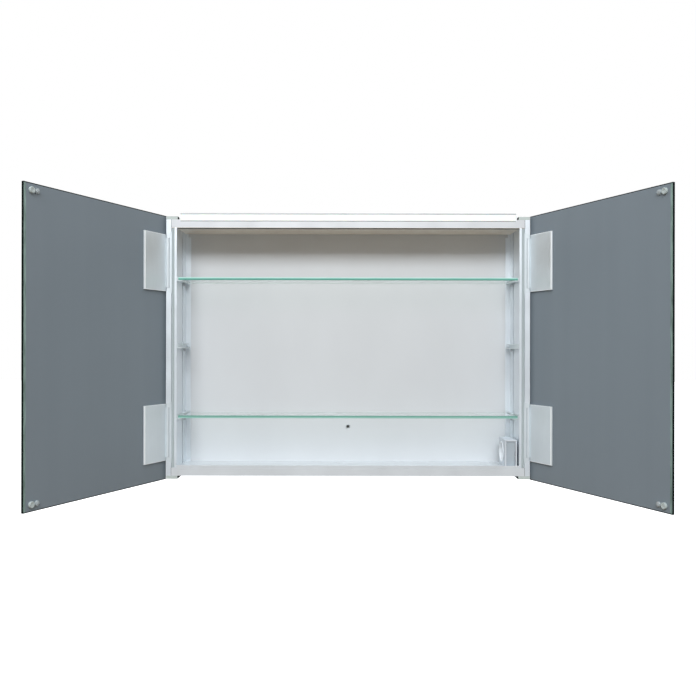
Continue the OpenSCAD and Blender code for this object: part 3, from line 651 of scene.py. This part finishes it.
def dress_door(side):
    """Pane, paint, buffers and plate edges of a door, shaped on the closed door and then opened."""
    opened, out, closed = door(side)
    low, high = closed(f"{side}_door_mirror")
    free, hinge = (low.x, high.x) if out > 0 else (high.x, low.x)

    def hang(word, bm, materials, replaces=(), soft=None):
        bm.transform(opened)
        make(f"{side}_{word}", bm, materials, f"{side}_door", replaces, soft)

    bm = bmesh.new()
    block(bm, low, high, lambda n: 0 if n.y < -0.5 else (2 if n.y > 0.5 else 1))
    arris(bm, PANE_ARRIS, 1)
    hang("mirror_pane", bm, ("silver", "pane_edge", "pane_border"),
         (f"{side}_door_mirror",))

    # the glass looks dark along its upper and lower edge, and the paint stops short of them
    y = high.y - SUNK * MM
    x0, x1 = low.x + PANE_ARRIS * MM, high.x - PANE_ARRIS * MM
    bm = bmesh.new()
    for z in (low.z + LINE_IN * MM, high.z - (LINE_IN + LINE_H) * MM):
        block(bm, (x0, y, z), (x1, high.y + LINE_PROUD * MM, z + LINE_H * MM))
    hang("pane_lines", bm, ("pane_edge",), soft=FINE)
    x0, x1 = sorted((free + out * PAINT_FREE * MM, hinge - out * PAINT_HINGE * MM))
    z0, z1 = low.z + PAINT_ENDS * MM, high.z - PAINT_ENDS * MM
    bm = bmesh.new()
    block(bm, (x0, y, z0), (x1, high.y + PAINT_PROUD * MM, z1))
    hang("mirror_backing", bm, ("paint",), soft=FINE)

    # in each free corner a milky disc with a dished top and a smaller clear dome
    d_low, d_high = closed(f"{side}_door_buffers")
    height = (d_high.y - d_low.y) / MM
    disc = [(5.7, 0), (MILKY_R, 0.5), (MILKY_R, height - 1.3), (5.7, height - 0.5),
            (4.9, height), (4.0, height), (3.1, height - 0.45), (1.2, height - 0.6)]
    dome = [(5.1, 0), (CLEAR_R, 0.4)]
    for degrees in range(0, 86, 10):
        t = math.radians(degrees)
        dome.append((CLEAR_R * math.cos(t), DOME_FOOT + (height - DOME_FOOT) * math.sin(t)))
    for word, place, profile in (("milky", MILKY_IN, disc), ("clear", CLEAR_IN, dome)):
        bm = bmesh.new()
        for z in (low.z + BUFFER_END * MM, high.z - BUFFER_END * MM):
            at = Vector((free + out * place * MM, d_low.y, z))
            lathe(bm, profile, at, (0, 1, 0), (1, 0, 0), 48)
        hang(f"{word}_buffers", bm, (f"{word}_disc",), (f"{side}_door_buffers",))

    # the cover plates' cut edges, with a low rim along the free one; their near-white colour is a
    # painted highlight for the light the cut edges catch
    bm = bmesh.new()
    for level in ("upper", "lower"):
        p_low, p_high = closed(f"{level}_{side}_hinge_plate")
        edge, y = (p_low.x if out > 0 else p_high.x), p_low.y + PLATE_FACE * MM
        section = [(0.3, -0.1), (0.3, 0.1), (3.1, 0.8), (RIM_W, -0.1)]
        skin(bm, [[bm.verts.new((edge + out * x * MM, y + h * MM, z)) for x, h in section]
                  for z in (p_low.z + 0.8 * MM, p_high.z - 0.8 * MM)])
        x0, x1 = sorted((edge + out * RIM_W * MM, edge + out * CUT_REACH * MM))
        for z in (p_low.z + CUT_IN * MM, p_high.z - (CUT_IN + CUT_H) * MM):
            block(bm, (x0, y - 0.1 * MM, z), (x1, y + 0.06 * MM, z + CUT_H * MM))
    hang("cover_plate_cut_highlights", bm, ("cut",), soft=FINE)


for side in ("left", "right"):
    dress_door(side)

# glass shelves: each edge has a lower, a middle and an upper colour, painted light: the upper
# shelf's front edge is painted bright along its top, the lower shelf's along its bottom, and the
# rear edges lighter
SHELF_ARRIS = 0.6
REAR_EDGE_PAINTED_LIGHT = (rgb(168, 196, 188), rgb(150, 182, 172), rgb(176, 202, 194))
FRONT_EDGE_PAINTED_LIGHT = {
    "upper": (rgb(84, 158, 142), rgb(98, 168, 154), rgb(190, 234, 226)),
    "lower": (rgb(172, 220, 212), rgb(122, 172, 160), rgb(100, 156, 142)),
}
for level, front_edge_painted_light in FRONT_EDGE_PAINTED_LIGHT.items():
    low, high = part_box(f"{level}_shelf")
    centre, half = (low.z + high.z) / 2, (high.z - low.z) / 2
    for word, colours in (("edge", front_edge_painted_light), ("rear", REAR_EDGE_PAINTED_LIGHT)):
        M[f"{level}_{word}"] = glass_edge_painted_light(f"{level}_shelf_{word}", *colours, centre, half)
    bm = bmesh.new()
    block(bm, low, high, lambda n: 0 if abs(n.z) > 0.5 else (2 if n.y > 0.5 else 1))
    arris(bm, SHELF_ARRIS, 1)
    make(f"{level}_glass_shelf", bm, ("glass", f"{level}_edge", f"{level}_rear"),
         f"{level}_shelf_set", (f"{level}_shelf",))

# end caps, with a hollow towards the middle of the cabinet whose faces are painted near-black as
# painted shade
CAP_WALL, CAP_HOLLOW = 0.9, 9
for level in ("upper", "lower"):
    for side, out in (("left", -1), ("right", 1)):
        node = f"{level}_{side}_end_cap"
        bm = bmesh.new()
        block(bm, *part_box(node))
        inner = next(f for f in bm.faces if f.normal.x * out < -0.5)
        bmesh.ops.inset_region(bm, faces=[inner], thickness=CAP_WALL * MM)
        moved = bmesh.ops.extrude_face_region(bm, geom=[inner])
        bmesh.ops.delete(bm, geom=[inner], context="FACES_ONLY")
        ends = [g for g in moved["geom"] if isinstance(g, bmesh.types.BMFace)]
        for v in {v for f in ends for v in f.verts}:
            v.co.x += out * CAP_HOLLOW * MM
        # the hollow's faces get the near-black painted shade
        for f in {g for f in ends for e in f.edges for g in e.link_faces}:
            f.material_index = 1
        make(f"{node}_shell", bm, ("cap", "cap_painted_shade"), "cabinet", (node,), 0.5)

# clamping screws of the carriers, with hexagon sockets
SHANK_R, HEAD_H = 2.0, 4.0
SOCKET_R, SOCKET_DEPTH = 1.75, 2.4


def hexagon(a):
    """Distance of a hexagon's outline from its middle, as a part of its corner radius."""
    step = math.pi / 3
    return math.cos(step / 2) / math.cos(a % step - step / 2)


def clamp_screws(name, node, body):
    """A screw on each side of the cabinet, with its head towards the middle."""
    low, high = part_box(node)
    centre_y, centre_z = (low.y + high.y) / 2, (low.z + high.z) / 2
    head_r = (high.z - low.z) / 2 / MM
    bm = bmesh.new()
    for out in (-1, 1):
        xs = [round(v.co.x * out / MM, 3) for v in NODES[node].data.vertices if v.co.x * out > 0]
        place = (Vector((out * min(xs) * MM, centre_y, centre_z)), (out, 0, 0), (0, 1, 0), 36)
        outer = [(SHANK_R, max(xs) - min(xs)), (SHANK_R, HEAD_H), (head_r, HEAD_H), (head_r, 0.7),
                 (head_r - 0.25, 0.25), (head_r - 0.8, 0.0), (2.1, 0.0)]
        rings = [ring_at(bm, *place, h, lambda a: r) for r, h in outer]
        for h in (0.0, SOCKET_DEPTH):
            rings.append(ring_at(bm, *place, h, lambda a: SOCKET_R * hexagon(a)))
        skin(bm, rings)
    make(name, bm, ("zinc",), body, (node,))


clamp_screws("upper_clamp_screws", "upper_carrier_screws", "upper_shelf_set")
clamp_screws("lower_clamp_screws", "lower_carrier_screws", "lower_shelf_set")
clamp_screws("spare_clamp_screws", "spare_carrier_screws", "cabinet")

# rocker of the switch: a dished plate on its hub and trunnions, shaped about its axis when level
ROWS, COLUMNS = 28, 6
REAR_Y = -3.0 * MM
DISH = 0.9 * MM
WEB_IN, WEB_HALF, WEB_INTO_PLATE = 3.0 * MM, 2.0 * MM, 0.4 * MM
HUB_R, TRUNNION_R = 2.6, 1.5

joint = JOINTS["rocker_tilt"]
tilted = Matrix.Rotation(math.radians(-sum(joint["range_deg"]) / 2), 4, "X")
rest_turn = Matrix.Translation(Vector(joint["pos_m"])) @ tilted
level_turn = rest_turn.inverted()
points = [level_turn @ v.co for v in NODES["switch_rocker"].data.vertices]
face = [p for p in points if p.y < REAR_Y + 0.1 * MM]
half_x, half_z = max(p.x for p in face), max(p.z for p in face)
face_y = min(p.y for p in face)
bm = bmesh.new()


def plate_rows(depth):
    """Rows of vertices over a face of the rocker. depth gives a row's y from its height."""
    return [[bm.verts.new((-half_x + 2 * half_x * i / COLUMNS, depth(z), z))
             for i in range(COLUMNS + 1)]
            for z in (-half_z + 2 * half_z * k / ROWS for k in range(ROWS + 1))]


front = plate_rows(lambda z: face_y + DISH * (1 - (z / half_z) ** 2))
back = plate_rows(lambda z: REAR_Y)
for rows in (front, back):
    for k in range(ROWS):
        for i in range(COLUMNS):
            bm.faces.new((rows[k][i], rows[k][i + 1], rows[k + 1][i + 1], rows[k + 1][i]))
for k in range(ROWS):
    for i in (0, COLUMNS):
        bm.faces.new((front[k][i], front[k + 1][i], back[k + 1][i], back[k][i]))
for i in range(COLUMNS):
    for k in (0, ROWS):
        bm.faces.new((front[k][i], front[k][i + 1], back[k][i + 1], back[k][i]))
block(bm, (-half_x + WEB_IN, REAR_Y - WEB_INTO_PLATE, -WEB_HALF), (half_x - WEB_IN, 0, WEB_HALF))
for r, reach in ((HUB_R, half_x / MM), (TRUNNION_R, max(p.x for p in points) / MM)):
    lathe(bm, [(r, -reach), (r, reach)], Vector(), (1, 0, 0), (0, 1, 0), 28)
bm.transform(rest_turn)
make("switch_rocker_plate", bm, ("rocker",), "rocker", ("switch_rocker",), 0.45)


# ---------- seals and joints that show as thin lines ----------


def above_middle(z):
    return (z - MID_Z) / MM


def strips(name, boxes, key, soft):
    """Thin strips, each (x0, x1, y0, y1, z0, z1) in mm from the cabinet's front and mid-height."""
    bm = bmesh.new()
    for x0, x1, y0, y1, z0, z1 in boxes:
        block(bm, (x0 * MM, FRONT_Y + y0 * MM, MID_Z + z0 * MM),
              (x1 * MM, FRONT_Y + y1 * MM, MID_Z + z1 * MM))
    make(name, bm, (key,), "cabinet", (), soft)


half_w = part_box("right_side_panel")[1].x / MM
lip_x = half_w - 23  # inner lip of the right side panel
band_x = half_w - 11  # inner edge of its front band
rail_low, rail_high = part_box("top_panel")
in_z, top_z = above_middle(rail_low.z), above_middle(rail_high.z)
bar_z = above_middle(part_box("light_bar_cover")[0].z)
# a dark seal along the underside of the top rail's front: partly a seal, partly painted shade for
# the shadow line under the rail
strips("door_seal_and_painted_shade", [(0.4 - lip_x, lip_x - 0.4, 0.5, 3.4, in_z - 2.4, in_z + 0.2)], "seal", 0.3)
strips("cover_joint", [(8 - lip_x, lip_x - 8, -0.03, 1.0, bar_z - 0.9, bar_z + 0.15)],
       "joint", FINE)
strips("panel_joints", [(s * band_x - 0.35, s * band_x + 0.35, -0.04, 1.0, z0, z1)
                        for s in (-1, 1) for z0, z1 in ((in_z, top_z), (-top_z, -in_z))],
       "joint", FINE)

# dust seals in the grooves of the side panels, with a bead along the middle; their grey, darker
# than the profile, is partly painted shade for the groove. The section is in mm from the outer face
# of the side panel and from the front
SEAL_SECTION = [(11.3, 3.9), (11.3, 2.3), (12.9, 2.0), (13.5, 1.0), (14.5, 0.6), (15.5, 1.0),
                (16.1, 2.0), (17.7, 2.3), (17.7, 3.9)]
SEAL_GAP = 0.3
for side, out in (("left", -1), ("right", 1)):
    bm = bmesh.new()
    skin(bm, [[bm.verts.new((out * (half_w - x) * MM, FRONT_Y + y * MM, MID_Z + z * MM))
               for x, y in SEAL_SECTION]
              for z in (-in_z + SEAL_GAP, in_z - SEAL_GAP)])
    make(f"{side}_dust_seal_and_painted_shade", bm, ("dust_seal_and_painted_shade",), "cabinet", (), 0.15)

# a rubber membrane closes the fixing hole until a screw goes through it
MEMBRANE_IN = 0.9
MEMBRANE = [(3.15, 0), (3.15, 0.5), (2.4, 0.75), (0.5, 0.8)]
low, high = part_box("fixing_bush")
at = Vector(((low.x + high.x) / 2, high.y - MEMBRANE_IN * MM, (low.z + high.z) / 2))
bm = bmesh.new()
lathe(bm, MEMBRANE, at, (0, 1, 0), (1, 0, 0), 36)
make("fixing_hole_membrane", bm, ("seal",), "cabinet", ())


# ---------- floor and light ----------

FLOOR_DROP = 1.35

floor = Nodes("studio_floor")
floor.set(
    Base_Color=floor.tones(floor.noise(0.4), (0.86, 0.86, 0.86), (0.9, 0.9, 0.9)),
    Roughness=0.8,
    Emission_Color=(1.0, 1.0, 1.0),
    Emission_Strength=0.8,
)
bm = bmesh.new()
bmesh.ops.create_grid(bm, x_segments=8, y_segments=8, size=30)
mesh = bpy.data.meshes.new("floor")
bm.to_mesh(mesh)
bm.free()
mesh.materials.append(floor.material)
ground = bpy.data.objects.new("floor", mesh)
ground.location = (0, 0, MID_Z - FLOOR_DROP)
bpy.context.scene.collection.objects.link(ground)
ground.visible_diffuse = False
ground.visible_glossy = False
ground.visible_shadow = False

key = bpy.data.lights.new("key", "AREA")
key.shape = "RECTANGLE"
key.size, key.size_y = 3.0, 1.15
key.energy = 130
key.color = (0.955, 0.98, 1.0)
lamp = bpy.data.objects.new("key", key)
lamp.location = (-0.3, FRONT_Y - 3.45, MID_Z + 2.25)
aim = Vector((0, FRONT_Y, MID_Z)) - lamp.location
lamp.rotation_euler = aim.to_track_quat("-Z", "Y").to_euler()
bpy.context.scene.collection.objects.link(lamp)

world = bpy.data.worlds.new("studio")
bpy.context.scene.world = world
world.use_nodes = True
tree = world.node_tree
tree.nodes.clear()


def added(kind, links=(), **values):
    """A world node with its input values, and links from other nodes' outputs to its inputs."""
    made = tree.nodes.new("ShaderNode" + kind)
    for key, value in values.items():
        made.inputs[key.replace("_", " ")].default_value = value
    for source, socket in links:
        tree.links.new(source, made.inputs[socket])
    return made.outputs[0] if made.outputs else None


look = tree.nodes.new("ShaderNodeTexCoord").outputs["Generated"]
split = tree.nodes.new("ShaderNodeSeparateXYZ")
tree.links.new(look, split.inputs[0])
tilt = added("MapRange", [(split.outputs["Z"], "Value")], From_Min=-0.55, From_Max=0.75)


def surroundings(below, middle, above):
    """Light from all around, with its colour below, a little under the horizon and above."""
    ramp = tree.nodes.new("ShaderNodeValToRGB")
    tree.links.new(tilt, ramp.inputs["Fac"])
    stops = ramp.color_ramp.elements
    stops[0].color = (*below, 1)
    stops[1].position, stops[1].color = 1.0, (*above, 1)
    stops.new(0.42).color = (*middle, 1)
    return added("Background", [(ramp.outputs["Color"], "Color")], Strength=1.0)


# the studio is bright above and dim and warm below; mirrors and metals see a paler room, as a
# studio with a pale floor gives; the camera sees plain white behind the object
fill = surroundings((0.265, 0.205, 0.14), (0.40, 0.338, 0.272), (0.92, 0.97, 1.0))
mirrored = surroundings((0.50, 0.53, 0.56), (0.42, 0.44, 0.465), (0.86, 0.92, 0.97))
seen = added("Background", Color=(1, 1, 1, 1), Strength=1.0)
ray = tree.nodes.new("ShaderNodeLightPath").outputs
lit = added("MixShader", [(ray["Is Glossy Ray"], 0), (fill, 1), (mirrored, 2)])
both = added("MixShader", [(ray["Is Camera Ray"], 0), (lit, 1), (seen, 2)])
added("OutputWorld", [(both, "Surface")])

bpy.context.scene.view_settings.view_transform = "Standard"
bpy.context.scene.view_settings.look = "None"
